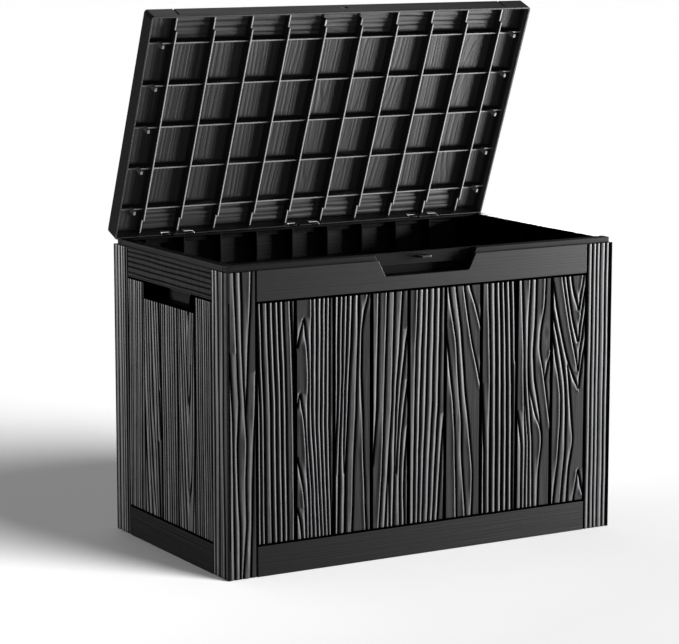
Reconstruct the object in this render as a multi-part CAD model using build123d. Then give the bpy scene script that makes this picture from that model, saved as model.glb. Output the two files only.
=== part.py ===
from build123d import *
import os

# Resin storage bench: four ribbed wall panels, a drop-in floor and a hinged seat lid.
# Millimetres. Origin on the ground under the centre of the box, X across the front,
# Y towards the back, Z up. The lid stands open at LID_OPEN degrees.

# Overall size
WIDTH = 670.0
DEPTH = 372.0
LEDGE_Z = 447.5  # shelf that the lid skirt comes down to
COLLAR_Z = 455.5  # raised rim inside the skirt
LID_BOTTOM_Z = 448.0
LID_TOP_Z = 475.0

# Wall panels
WALL_T = 20.0
SKIN_T = 3.0
RIB_T = 2.5
POST_W = 47.0
RAIL_H = 44.5
FRONT_PLANKS = 9
FRONT_PITCH = (WIDTH - 2 * POST_W) / FRONT_PLANKS
SIDE_PLANKS = 5
SIDE_PITCH = (DEPTH - 2 * POST_W) / SIDE_PLANKS
EDGE_T = 4.0  # side-panel skin that laps the ends of the front and back panels
FIELD_IN = 3.0  # set-back of the plank field
POST_IN = 2.0  # set-back of the post faces
GROOVE_W = 4.0
GROOVE_IN = 1.5
COLLAR_IN = 4.0
REAR_COLLAR_IN = 6.5  # room for the skirt as it swings
FIT = 0.2
ROWS = [(46.0, 134.0), (137.0, 224.0), (227.0, 313.0), (316.0, 400.5)]

# Front grip recess, a trapezoid that opens through the collar
GRIP_Z = 423.5
GRIP_STEP_Z = 437.0
GRIP_HALF = 72.5
GRIP_SLOPE = 0.5
GRIP_WALL_IN = 14.0
GRIP_POCKET_IN = 24.0

# Hand pocket under the top rail of each side
HAND_Z = 379.0
HAND_TOP_Z = LEDGE_Z - RAIL_H
HAND_HALF_TOP = 65.5
HAND_HALF_BOTTOM = 59.5
HAND_IN = 24.0
HAND_LIFT = 12.0
SIDE_RAIL_IN = 1.5  # set-back of the grooved face of the side top rail

# Floor
LEDGE_IN = 6.0
FLOOR_Z = 27.0
FLOOR_T = 3.0
FOOT_R = 30.0
FLOOR_SCREWS_X = [-200.0, 0.0, 200.0]
FLOOR_SCREW_IN = 25.0

# Corner screws, driven along Y through the ears of the side panels
SCREW_Z = [70.0, 225.0, 372.0]
SCREW_X = WIDTH / 2 - 26.0
EAR_T = 6.0
SHANK_R = 1.9
PILOT_R = 1.95
HEAD_R = 4.0
HEAD_T = 2.4

# Lid
LID_OPEN = 68.0
LID_SKIN_Z = 470.0
LID_RIB_T = 2.2
LID_SKIRT_T = 3.0
LID_RIBS_X = [(i - 4.5) * FRONT_PITCH for i in range(10)]
LID_RIBS_Y = [-139.0, -69.5, 0.0, 69.5, 139.0]
LID_RIB_END_Z = 451.5
LID_CROSS_RIB_END_Z = 455.0
RIB_TRIM_Z = 457.0
TRIM_X = 313.5
TRIM_Y = 159.0

# Hinges
HINGE_Y = 188.0
HINGE_Z = 453.2
HINGE_X = [-224.0, 0.0, 224.0]
BARREL_R = 5.0
LUG_HALF = 10.0
KNUCKLE = (11.0, 26.0)
PIN_R = 2.0
PIN_BORE_R = 2.05
BUSH_R = 3.2

# Padlock eye in the grip recess
EYE_HALF = 11.0
EYE_Z = (446.5, 449.5)
EYE_IN = (3.6, 17.0)
EYE_HOLE_IN = 8.6
EYE_HOLE_R = 3.5


def block(x0, x1, y0, y1, z0, z1):
    return Pos((x0 + x1) / 2, (y0 + y1) / 2, (z0 + z1) / 2) * Box(x1 - x0, y1 - y0, z1 - z0)


def prism_y(points, y0, y1, radius=0.0):
    """Closed outline of (x, z) points, extruded from y0 to y1; its two lowest corners rounded."""
    face = make_face(Polyline(*points, close=True))
    if radius:
        face = fillet(face.vertices().sort_by(Axis.Y)[:2], radius)
    return Pos(0, y0, 0) * extrude(Plane.XZ * face, amount=-(y1 - y0))


def prism_x(points, x0, x1):
    """Closed outline of (y, z) points, extruded from x0 to x1."""
    face = make_face(Polyline(*points, close=True))
    return Pos(x0, 0, 0) * extrude(Plane.YZ * face, amount=x1 - x0)


def rod_x(radius, x0, x1, y, z):
    return Pos((x0 + x1) / 2, y, z) * Rot(0, 90, 0) * Cylinder(radius, x1 - x0)


def rod_y(radius, y0, y1, x, z):
    return Pos(x, (y0 + y1) / 2, z) * Rot(90, 0, 0) * Cylinder(radius, y1 - y0)


def rod_z(radius, z0, z1, x, y):
    return Pos(x, y, (z0 + z1) / 2) * Cylinder(radius, z1 - z0)


# ---- walls: X along the panel, Y = 0 at the outer face and positive inwards ----


def wall_outside(half, core_half, pitch, planks, collar_in, post_out):
    """Slab with its collar, set-back plank field and posts, and the joint lines between them."""
    field = pitch * planks / 2
    top = LEDGE_Z - RAIL_H
    slab = block(-core_half, core_half, 0, WALL_T, 0, LEDGE_Z)
    slab += block(-core_half, core_half, collar_in, WALL_T, LEDGE_Z - 1, COLLAR_Z)
    if half > core_half:
        slab += block(-half, half, 0, EDGE_T, 0, LEDGE_Z)
    cuts = [block(-field, field, -1, FIELD_IN, RAIL_H, top)]
    for i in range(planks + 1):
        u = -field + i * pitch
        cuts.append(block(u - GROOVE_W / 2, u + GROOVE_W / 2, -1, FIELD_IN + GROOVE_IN, RAIL_H, top))
    for z in (RAIL_H, top - 3):
        cuts.append(block(-field, field, -1, FIELD_IN + GROOVE_IN, z, z + 3))
    for s in (-1, 1):
        a, b = sorted((s * (field + 1.25), s * post_out))
        cuts.append(block(a, b, -1, POST_IN, -1, LEDGE_Z + 1))
        cuts.append(block(s * field - 1.25, s * field + 1.25, -1, POST_IN + 0.5, -1, LEDGE_Z + 1))
    return slab - cuts


def wall_cells(core_half, pitch, planks, collar_in):
    """Open cells on the inner side, between the ribs."""
    field = pitch * planks / 2
    top = LEDGE_Z - RAIL_H
    columns = [(-core_half + SKIN_T, -field - RIB_T / 2, True)]
    for i in range(planks):
        u = -field + i * pitch
        columns.append((u + RIB_T / 2, u + pitch - RIB_T / 2, False))
    columns.append((field + RIB_T / 2, core_half - SKIN_T, True))
    cells = []
    for u0, u1, post in columns:
        rail_in = POST_IN + SKIN_T if post else SKIN_T
        field_in = POST_IN + SKIN_T if post else FIELD_IN + SKIN_T
        for z0, z1 in [(SKIN_T, FLOOR_Z - 3), (FLOOR_Z, RAIL_H - 2.5), (top + 2, LEDGE_Z - 3)]:
            cells.append(block(u0, u1, rail_in, WALL_T + 1, z0, z1))
        for z0, z1 in ROWS:
            cells.append(block(u0, u1, field_in, WALL_T + 1, z0, z1))
        cells.append(block(u0, u1, collar_in + SKIN_T, WALL_T + 1, top + 2, COLLAR_Z - SKIN_T))
    return cells


def floor_ledge(half, screws):
    """Shelf for the floor, with a boss under each floor screw."""
    shelf = block(-half, half, WALL_T - 1, WALL_T + LEDGE_IN, FLOOR_Z - 3, FLOOR_Z)
    for u in screws:
        shelf += rod_z(5.0, 12.0, FLOOR_Z, u, FLOOR_SCREW_IN)
        shelf += block(u - 1.25, u + 1.25, WALL_T - 6, FLOOR_SCREW_IN, 12.0, FLOOR_Z)
    return shelf


def floor_pilots(screws):
    return [rod_z(PILOT_R, 14.0, FLOOR_Z + 1, u, FLOOR_SCREW_IN) for u in screws]


def long_wall(collar_in):
    """Front or back panel before its own fittings."""
    half = WIDTH / 2 - EDGE_T
    wall = wall_outside(half, half, FRONT_PITCH, FRONT_PLANKS, collar_in, half + 1)
    wall -= wall_cells(half, FRONT_PITCH, FRONT_PLANKS, collar_in)
    wall += floor_ledge(WIDTH / 2 - WALL_T - LEDGE_IN - 0.5, FLOOR_SCREWS_X)
    pilots = floor_pilots(FLOOR_SCREWS_X)
    for s in (-1, 1):
        for z in SCREW_Z:
            wall += rod_y(5.0, POST_IN + SKIN_T - 1, WALL_T, s * SCREW_X, z)
            pilots.append(rod_y(PILOT_R, 8.0, WALL_T + 1, s * SCREW_X, z))
    return wall - pilots


def grip_outline(z0, z1, grow):
    a = GRIP_HALF + GRIP_SLOPE * (z0 - GRIP_Z) + grow
    b = GRIP_HALF + GRIP_SLOPE * (z1 - GRIP_Z) + grow
    return [(-a, z0), (a, z0), (b, z1), (-b, z1)]


def front_panel():
    wall = long_wall(COLLAR_IN)
    wall += prism_y(grip_outline(GRIP_Z - 3, LEDGE_Z, 3), 2.0, GRIP_WALL_IN + SKIN_T)
    wall += prism_y(grip_outline(LEDGE_Z - 1, COLLAR_Z, 3), COLLAR_IN, GRIP_WALL_IN + SKIN_T)
    wall += prism_y(grip_outline(GRIP_Z - 3, GRIP_STEP_Z + 3, 3), 2.0, GRIP_POCKET_IN + SKIN_T)
    wall -= prism_y(grip_outline(GRIP_Z, COLLAR_Z + 1, 0), -1.0, GRIP_WALL_IN, 4.0)
    wall -= prism_y(grip_outline(GRIP_Z, GRIP_STEP_Z, 0), -1.0, GRIP_POCKET_IN, 4.0)
    slot = block(-EYE_HALF - 0.1, EYE_HALF + 0.1, GRIP_WALL_IN - 1, WALL_T + 1, EYE_Z[0] - 0.05, EYE_Z[1] + 0.05)
    seat = block(-15.2, 15.2, EYE_IN[1], WALL_T + 1, 442.8, 452.4)
    return Pos(0, -DEPTH / 2, 0) * (wall - [slot, seat])


def back_panel():
    wall = long_wall(REAR_COLLAR_IN)
    axis_w = DEPTH / 2 - HINGE_Y
    bores = []
    for xc in HINGE_X:
        for s in (-1, 1):
            x0, x1 = sorted((xc + s * KNUCKLE[0], xc + s * KNUCKLE[1]))
            outline = [(0.5, 430.0), (-7.0, 441.0), (-7.0, HINGE_Z), (axis_w, HINGE_Z), (0.5, LEDGE_Z - 1)]
            wall += prism_x(outline, x0, x1)
            wall += rod_x(BARREL_R, x0, x1, axis_w, HINGE_Z)
            bores.append(rod_x(PIN_BORE_R, x0 - 1, x1 + 1, axis_w, HINGE_Z))
    return Pos(0, DEPTH / 2, 0) * Rot(0, 0, 180) * (wall - bores)


def side_wall():
    """Side panel with its hand pocket and the screwed ears at both ends."""
    half = DEPTH / 2
    core = DEPTH / 2 - WALL_T - FIT
    wall = wall_outside(half, core, SIDE_PITCH, SIDE_PLANKS, COLLAR_IN, half - 3)
    wall -= wall_cells(core, SIDE_PITCH, SIDE_PLANKS, COLLAR_IN)
    wall += floor_ledge(core, [0.0])
    field = SIDE_PITCH * SIDE_PLANKS / 2
    cuts = floor_pilots([0.0])
    cuts.append(block(-field + 1.25, field - 1.25, -1, SIDE_RAIL_IN, LEDGE_Z - RAIL_H + 1.5, LEDGE_Z - 1.5))
    for s in (-1, 1):
        u0, u1 = sorted((s * core, s * (core - EAR_T)))
        for z in SCREW_Z:
            wall += block(u0, u1, 8.0, 33.0, z - 8, z + 8)
            cuts.append(rod_x(2.3, u0 - 1, u1 + 1, 26.0, z))
    grow = 3.5
    lift_z = HAND_TOP_Z + HAND_LIFT
    wall += block(-HAND_HALF_TOP - grow, HAND_HALF_TOP + grow, 2.0, HAND_IN + 3, HAND_TOP_Z, lift_z + 3)
    wall += block(-HAND_HALF_TOP - grow, HAND_HALF_TOP + grow, 5.0, HAND_IN + 3, HAND_Z - 3, HAND_TOP_Z)
    mouth = [
        (-HAND_HALF_BOTTOM, HAND_Z),
        (HAND_HALF_BOTTOM, HAND_Z),
        (HAND_HALF_TOP, HAND_TOP_Z),
        (-HAND_HALF_TOP, HAND_TOP_Z),
    ]
    cuts.append(prism_y(mouth, -1.0, HAND_IN, 3.0))
    cuts.append(block(-HAND_HALF_TOP, HAND_HALF_TOP, 8.0, HAND_IN, HAND_TOP_Z - 1, lift_z))
    return wall - cuts


def base_panel():
    """Floor plate with ribs below it and a centre foot that reaches the ground."""
    x = WIDTH / 2 - WALL_T - 0.5
    y = DEPTH / 2 - WALL_T - 0.5
    plate = block(-x, x, -y, y, FLOOR_Z, FLOOR_Z + FLOOR_T)
    for rib_y in (-100.0, -50.0, 50.0, 100.0):
        plate += block(-298, 298, rib_y - 1.25, rib_y + 1.25, 14.0, FLOOR_Z + 0.5)
    for rib_x in (-298.0, -224.0, -149.0, -75.0, 75.0, 149.0, 224.0, 298.0):
        plate += block(rib_x - 1.25, rib_x + 1.25, -150, 150, 14.0, FLOOR_Z + 0.5)
    plate += rod_z(FOOT_R, 0.0, FLOOR_Z + 0.5, 0, 0) - rod_z(FOOT_R - 3, SKIN_T, FLOOR_Z, 0, 0)
    for s in (-1, 1):
        plate += block(s * 52 - 23.5, s * 52 + 23.5, -1.25, 1.25, 6.0, FLOOR_Z + 0.5)
    holes = [rod_z(2.2, FLOOR_Z - 1, FLOOR_Z + FLOOR_T + 1, px, py) for px, py in floor_screw_points()]
    return plate - holes


def floor_screw_points():
    points = []
    for s in (-1, 1):
        points += [(u, s * (DEPTH / 2 - FLOOR_SCREW_IN)) for u in FLOOR_SCREWS_X]
        points.append((s * (WIDTH / 2 - FLOOR_SCREW_IN), 0.0))
    return points


def screw(length):
    """Pan-head screw with a cross recess; the head rests on Z = 0 and the shank points down."""
    head = Cylinder(HEAD_R, HEAD_T, align=(Align.CENTER, Align.CENTER, Align.MIN))
    head = fillet(head.edges().sort_by(Axis.Z)[-1], 1.2)
    for a in (0, 90):
        head -= Pos(0, 0, HEAD_T - 0.6) * Rot(0, 0, a) * Box(4.6, 1.0, 1.3)
    shank = rod_z(SHANK_R, 3.0 - length, 0.0, 0, 0)
    tip = Pos(0, 0, 1.5 - length) * Rot(180, 0, 0) * Cone(SHANK_R, 0.3, 3.0)
    return head + shank + tip


def corner_screws(sx, sy):
    """Three screws at one corner, heads on the inner side of the ears."""
    y = sy * (DEPTH / 2 - WALL_T - FIT - EAR_T)
    return Compound([Pos(sx * SCREW_X, y, z) * Rot(sy * 90, 0, 0) * screw(16.0) for z in SCREW_Z])


def base_screws():
    return Compound([Pos(px, py, FLOOR_Z + FLOOR_T) * screw(14.5) for px, py in floor_screw_points()])


def swing(shape):
    """Turns a shape from the closed to the standing position of the lid."""
    return Pos(0, HINGE_Y, HINGE_Z) * Rot(-LID_OPEN, 0, 0) * Pos(0, -HINGE_Y, -HINGE_Z) * shape


def spans(marks, lo, hi):
    """Gaps between ribs of LID_RIB_T centred on marks, from lo to hi."""
    edges = [lo] + [m + s * LID_RIB_T / 2 for m in marks for s in (-1, 1)] + [hi]
    return list(zip(edges[::2], edges[1::2]))


def lid_top_cuts():
    """Set-back planks and end boards of the seat face, and the joint lines between them."""
    field_x = FRONT_PITCH * FRONT_PLANKS / 2
    field_y = DEPTH / 2 - POST_W
    up = LID_TOP_Z + 1
    cuts = [block(-field_x, field_x, -field_y, field_y, LID_TOP_Z - 2, up)]
    for x in LID_RIBS_X:
        cuts.append(block(x - 2, x + 2, -field_y, field_y, LID_TOP_Z - 3.5, up))
    for s in (-1, 1):
        y0, y1 = sorted((s * field_y, s * (field_y - 3)))
        cuts.append(block(-field_x, field_x, y0, y1, LID_TOP_Z - 3.5, up))
        x0, x1 = sorted((s * (field_x + 1.25), s * (WIDTH / 2 - 3)))
        cuts.append(block(x0, x1, 3 - DEPTH / 2, DEPTH / 2 - 3, LID_TOP_Z - 1.5, up))
        x = s * field_x
        cuts.append(block(x - 1.25, x + 1.25, -DEPTH / 2 - 1, DEPTH / 2 + 1, LID_TOP_Z - 2.2, up))
        cuts.append(block(x - 1.25, x + 1.25, -DEPTH / 2 - 1, 1.5 - DEPTH / 2, LID_BOTTOM_Z + 6, up))
    return cuts


def lid_closed():
    hx, hy = WIDTH / 2, DEPTH / 2
    lid = block(-hx, hx, -hy, hy, LID_BOTTOM_Z, LID_TOP_Z)
    lid = fillet(lid.edges().filter_by(Axis.Z), 5.0)
    low = LID_BOTTOM_Z - 1
    ix, iy = hx - LID_SKIRT_T, hy - LID_SKIRT_T
    cuts = []
    for x0, x1 in spans(LID_RIBS_X, -ix, ix):
        for y0, y1 in spans(LID_RIBS_Y, -iy, iy):
            cuts.append(block(x0, x1, y0, y1, low, LID_SKIN_Z))
    cuts.append(block(-TRIM_X, TRIM_X, -TRIM_Y, TRIM_Y, low, LID_RIB_END_Z))
    for x0, x1 in spans(LID_RIBS_X, -TRIM_X, TRIM_X):
        cuts.append(block(x0, x1, -TRIM_Y, TRIM_Y, low, LID_CROSS_RIB_END_Z))
    for s in (-1, 1):
        x0, x1 = sorted((s * TRIM_X, s * ix))
        cuts.append(block(x0, x1, -iy, iy, low, RIB_TRIM_Z))
        y0, y1 = sorted((s * TRIM_Y, s * iy))
        cuts.append(block(-ix, ix, y0, y1, low, RIB_TRIM_Z))
    cuts.append(block(-40, 40, -iy, -170, low, 466.0))
    cuts.append(block(-6, 6, -hy - 1, -iy + 1, 461.0, 467.0))
    for xc in HINGE_X:
        for s in (-1, 1):
            x0, x1 = sorted((xc + s * (LUG_HALF + 0.5), xc + s * 29))
            cuts.append(block(x0, x1, iy - 1, hy + 1, low, 460.5))
    lid -= cuts + lid_top_cuts()
    for s in (-1, 1):
        for y in LID_RIBS_Y:
            x0, x1 = sorted((s * (TRIM_X - 4), s * TRIM_X))
            lid += block(x0, x1, y - 3, y + 3, 442.0, 462.0)
    bores = []
    for xc in HINGE_X:
        x0, x1 = xc - LUG_HALF, xc + LUG_HALF
        web = [(iy, 452.0), (iy, 468.0), (hy, 468.0), (HINGE_Y + 4, 456.5), (HINGE_Y, HINGE_Z)]
        lid += prism_x(web, x0, x1)
        lid += rod_x(BARREL_R, x0, x1, HINGE_Y, HINGE_Z)
        bores.append(rod_x(BUSH_R + 0.05, x0 - 1, x1 + 1, HINGE_Y, HINGE_Z))
    return lid - bores


def hinge_pin(xc):
    pin = rod_x(PIN_R, xc - 27.0, xc + 27.0, HINGE_Y, HINGE_Z)
    for s in (-1, 1):
        x0, x1 = sorted((xc + s * 26.2, xc + s * 27.8))
        head = rod_x(3.4, x0, x1, HINGE_Y, HINGE_Z)
        outer = head.edges().sort_by(Axis.X)[-1 if s > 0 else 0]
        pin += chamfer(outer, 0.5)
    return pin


def hinge_bush(xc):
    tube = rod_x(BUSH_R, xc - 10.3, xc + 10.3, HINGE_Y, HINGE_Z)
    return tube - rod_x(PIN_BORE_R, xc - 11, xc + 11, HINGE_Y, HINGE_Z)


def padlock_eye():
    """Plate with a shackle hole, pushed out through the recess wall from behind its flange."""
    plate = block(-EYE_HALF, EYE_HALF, EYE_IN[0], EYE_IN[1] + 1, EYE_Z[0], EYE_Z[1])
    plate = fillet(plate.edges().filter_by(Axis.Z).sort_by(Axis.Y)[:2], 5.0)
    plate += block(-15.0, 15.0, EYE_IN[1], WALL_T, 443.0, 452.2)
    plate -= rod_z(EYE_HOLE_R, EYE_Z[0] - 1, EYE_Z[1] + 1, 0, EYE_HOLE_IN)
    return Pos(0, -DEPTH / 2, 0) * plate


side = side_wall()
nodes = {
    "front_panel": front_panel(),
    "back_panel": back_panel(),
    "left_panel": Pos(-WIDTH / 2, 0, 0) * Rot(0, 0, -90) * side,
    "right_panel": Pos(WIDTH / 2, 0, 0) * Rot(0, 0, 90) * side,
    "base_panel": base_panel(),
    "lid_panel": swing(lid_closed()),
    "padlock_eye": padlock_eye(),
    "front_left_screws": corner_screws(-1, -1),
    "front_right_screws": corner_screws(1, -1),
    "back_left_screws": corner_screws(-1, 1),
    "back_right_screws": corner_screws(1, 1),
    "base_screws": base_screws(),
}
for place, xc in zip(("left", "centre", "right"), HINGE_X):
    nodes["hinge_pin_" + place] = hinge_pin(xc)
    nodes["hinge_bush_" + place] = swing(hinge_bush(xc))

os.makedirs("parts", exist_ok=True)
for name, shape in nodes.items():
    shape.label = name
    export_step(shape, "parts/" + name + ".step")
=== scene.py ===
import math

import bpy
import numpy as np
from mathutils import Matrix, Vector


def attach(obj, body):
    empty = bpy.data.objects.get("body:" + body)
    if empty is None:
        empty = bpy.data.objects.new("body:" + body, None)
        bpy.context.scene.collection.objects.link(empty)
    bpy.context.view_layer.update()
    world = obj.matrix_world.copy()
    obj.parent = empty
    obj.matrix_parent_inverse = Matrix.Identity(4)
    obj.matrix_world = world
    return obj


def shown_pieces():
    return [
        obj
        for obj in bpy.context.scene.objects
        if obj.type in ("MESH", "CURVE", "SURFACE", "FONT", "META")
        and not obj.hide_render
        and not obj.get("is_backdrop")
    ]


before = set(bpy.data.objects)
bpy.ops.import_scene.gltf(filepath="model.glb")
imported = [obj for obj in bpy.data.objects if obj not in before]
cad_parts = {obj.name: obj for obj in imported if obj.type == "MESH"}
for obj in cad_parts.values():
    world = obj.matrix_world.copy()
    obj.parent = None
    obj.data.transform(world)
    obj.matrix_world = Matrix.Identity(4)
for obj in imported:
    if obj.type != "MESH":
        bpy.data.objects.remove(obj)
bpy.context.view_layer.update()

# Sizes of the box in millimetres, as in the CAD part.
WIDTH, DEPTH = 670.0, 372.0
LEDGE, RAIL, POST = 447.5, 44.5, 47.0
FRONT_PITCH, FRONT_PLANKS = 64.0, 9
SIDE_PITCH, SIDE_PLANKS = 55.6, 5
LID_TOP, LID_SKIN = 475.0, 470.0
HINGE_Y, HINGE_Z, LID_OPEN = 188.0, 453.2, 68.0
RIB_END_Z, CROSS_RIB_END_Z, RIB_TRIM_Z = 451.5, 455.0, 457.0
TRIM_X, TRIM_Y = 313.5, 159.0
LID_RIBS_Y = [(i - 2) * 69.5 for i in range(5)]
RIB_T = 2.2
FIELD = FRONT_PITCH * FRONT_PLANKS / 2

# Where the grain lies, in millimetres in from a wall's outer face: crest, valley and hidden back.
BOARD_LEVELS = (0.2, 2.95, 3.2)
POST_LEVELS = (0.0, 1.75, 2.2)
JOINT_HALF, SIDE_JOINT_HALF, RAIL_GAP = 2.7, 2.2, 3.0
POST_ENDS = (0.4, LEDGE - 0.2)
FRONT_POST_SPAN = (WIDTH / 2 - POST + 1.4, WIDTH / 2 - 4.2)
SIDE_POST_SPAN = (DEPTH / 2 - POST + 1.4, DEPTH / 2 - 3.2)


# ---------------------------------------------------------------- placing

def on_front(u, v, w):
    return u, -DEPTH / 2 + w, v


def on_back(u, v, w):
    return -u, DEPTH / 2 - w, v


def on_left(u, v, w):
    return -WIDTH / 2 + w, -u, v


def on_right(u, v, w):
    return WIDTH / 2 - w, u, v


def swing(x, y, z):
    """The lid's turn about its hinge, from closed to standing open."""
    a = math.radians(-LID_OPEN)
    dy, dz = y - HINGE_Y, z - HINGE_Z
    return x, HINGE_Y + dy * math.cos(a) - dz * math.sin(a), HINGE_Z + dy * math.sin(a) + dz * math.cos(a)


def on_lid_top(u, v, w):
    return swing(u, v, LID_TOP - w)


def on_lid_floor(u, v, w):
    """Underside of the lid skin; u runs right to left so that the face looks down."""
    return swing(-u, v, LID_SKIN + w)


# ---------------------------------------------------------------- wood grain

def eased(v, points, reach=16.0):
    """Values at v on the line through the (v, value) points, with its corners eased."""
    vs, ds = zip(*sorted(points))
    offsets = np.linspace(-reach, reach, 7)
    return sum(np.interp(v + o, vs, ds) for o in offsets) / len(offsets)


def waves(rng, count, low, high):
    """Random slow waves: (frequency along u, frequency along v, phase, share)."""
    out = []
    for _ in range(count):
        along_u, along_v = rng.uniform(-1, 1) / low, rng.uniform(-1, 1) / high
        out.append((along_u, along_v, rng.uniform(0, 6.28), rng.uniform(0.5, 1)))
    return out


def wavy(u, v, terms):
    return sum(s * np.sin(6.283 * (fu * u + fv * v) + p) for fu, fv, p, s in terms) / max(len(terms), 1)


def ridge(left, right, power=0.6):
    """Section of the raised grain `left` and `right` mm from the grooves on its two sides:
    a round ridge when they are close, a flat with a lip by the right one when they are not.
    A higher power opens the valleys between round ridges."""
    gap = left + right
    near = np.clip(np.minimum(left, right) - 0.45, 0, None)
    round_top = np.sin(1.5708 * np.clip(near / np.maximum(gap / 2 - 0.45, 0.3), 0, 1)) ** power
    round_top = round_top * np.clip(gap / 5.0, 0, 1)
    lip = 0.42 * np.exp(-((np.maximum(right - 2.2, 0) / 2.6) ** 2))
    flat = (0.58 * (1 - np.exp(-((left / 2.0) ** 2))) + lip) * (1 - np.exp(-(np.minimum(left, right) ** 2)))
    wide = np.clip((gap - 10.0) / 6.0, 0, 1)
    wide = wide * wide * (3 - 2 * wide)
    return round_top * (1 - wide) + flat * wide


def grain(seed, pitch=9.0, pitch_far=None, centre=-60.0, length=60.0, drift=((0, 0),), pull=((0, 0),),
          sharp=2.0, rough=1.0, power=0.6):
    """Raised grain of one board. Growth rings are `pitch` mm apart (`pitch_far` at the far
    edge), counted from a pith line at `centre`; `pull` rings lift it out of the face along
    the board, which gives cathedral arches where it changes, and `drift` leans the lines."""
    rng = np.random.default_rng(seed)
    slow = waves(rng, 3, 60.0, 170.0)
    small = waves(rng, 5, 22.0, 60.0)
    depth = rng.uniform(0, 6.28, 3)

    def height(u, v, du, dv):
        x = u - eased(v, drift) + rough * (2.6 * wavy(u, v, slow) + 1.0 * wavy(u, v, small))
        far = pitch_far or pitch
        if abs(far - pitch) > 0.1:
            slope = (far - pitch) / length
            local = np.maximum(pitch + slope * np.clip(x, -10, length + 10), 2.0)
            rings = np.log(local / pitch) / slope + (x - np.clip(x, -10, length + 10)) / local
            rings = rings - centre / pitch
        else:
            rings = (x - centre) / pitch
        uneven = 0.22 * rough * np.sin(rings * 1.9 + depth[0])
        rings = rings + uneven + 0.16 * rough * np.sin(rings * 3.1 + depth[1])
        lift = np.abs(eased(v, pull))
        phase = (np.abs(rings) ** sharp + lift ** sharp) ** (1 / sharp)
        gv, gu = np.gradient(phase, dv, du)
        slope = np.clip(np.hypot(gu, gv), 1 / 26.0, 1 / 3.2)
        part = phase - np.floor(phase)
        behind = np.where(gu > 0, part, 1 - part) / slope
        deep = 0.88 + 0.12 * np.sin(np.round(phase) * 2.4 + depth[2])
        fine = 0.04 * wavy(u * 6, v * 0.8, small) * rough
        return np.clip(1 - deep * (1 - ridge(behind, 1 / slope - behind, power)) + fine, 0, 1.05)

    return height


def drawn(seed, lines, rough=0.35, knot=None, power=0.6):
    """Raised grain between drawn grooves, each a list of (height, place across the board) in mm.
    A groove that stops short of the board's ends fades out or closes on its neighbour, and the
    joints beside the board count as grooves too. `knot` gives a knot's place and spread."""
    rng = np.random.default_rng(seed)
    slow = waves(rng, 3, 60.0, 150.0)
    small = waves(rng, 5, 20.0, 45.0)

    def height(u, v, du, dv):
        x = u + rough * (1.6 * wavy(u, v, slow) + 0.9 * wavy(u, v, small))
        left, right = x + 4.0, FRONT_PITCH - x
        for line in lines:
            low, high = line[0][0], line[-1][0]
            place = x - eased(v, line, 9.0)
            over = np.maximum(low - v if low > 4 else 0 * v, v - high if high < 348 else 0 * v)
            away = np.abs(place) + 1.3 * np.clip(over, 0, 30)
            left = np.where(place >= 0, np.minimum(left, away), left)
            right = np.where(place < 0, np.minimum(right, away), right)
        h = ridge(left, right, power)
        if knot:
            ku, kv, su, sv = knot
            r = ((u - ku) / su) ** 2 + ((v - kv) / sv) ** 2
            h = h * (1 - np.exp(-r)) + np.exp(-r) * (0.5 + 0.25 * np.clip(r, 0, 1))
        return np.clip(h + 0.035 * wavy(u * 6, v * 0.8, small), 0, 1.05)

    return height


def rail_grooves(seed, marks):
    """A few wandering grooves that run along a smooth rail."""
    rng = np.random.default_rng(seed)
    terms = [waves(rng, 3, 90.0, 4000.0) for _ in marks]

    def height(u, v, du, dv):
        h = np.full_like(u, 0.44)
        for m, t in zip(marks, terms):
            off = v - (m + 0.7 * wavy(u, v * 0, t))
            h = h - (0.36 + 0.07 * np.sin(u / 31 + m)) * np.exp(-((off / 1.1) ** 2))
        return np.clip(h, 0, 1)

    return height


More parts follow.
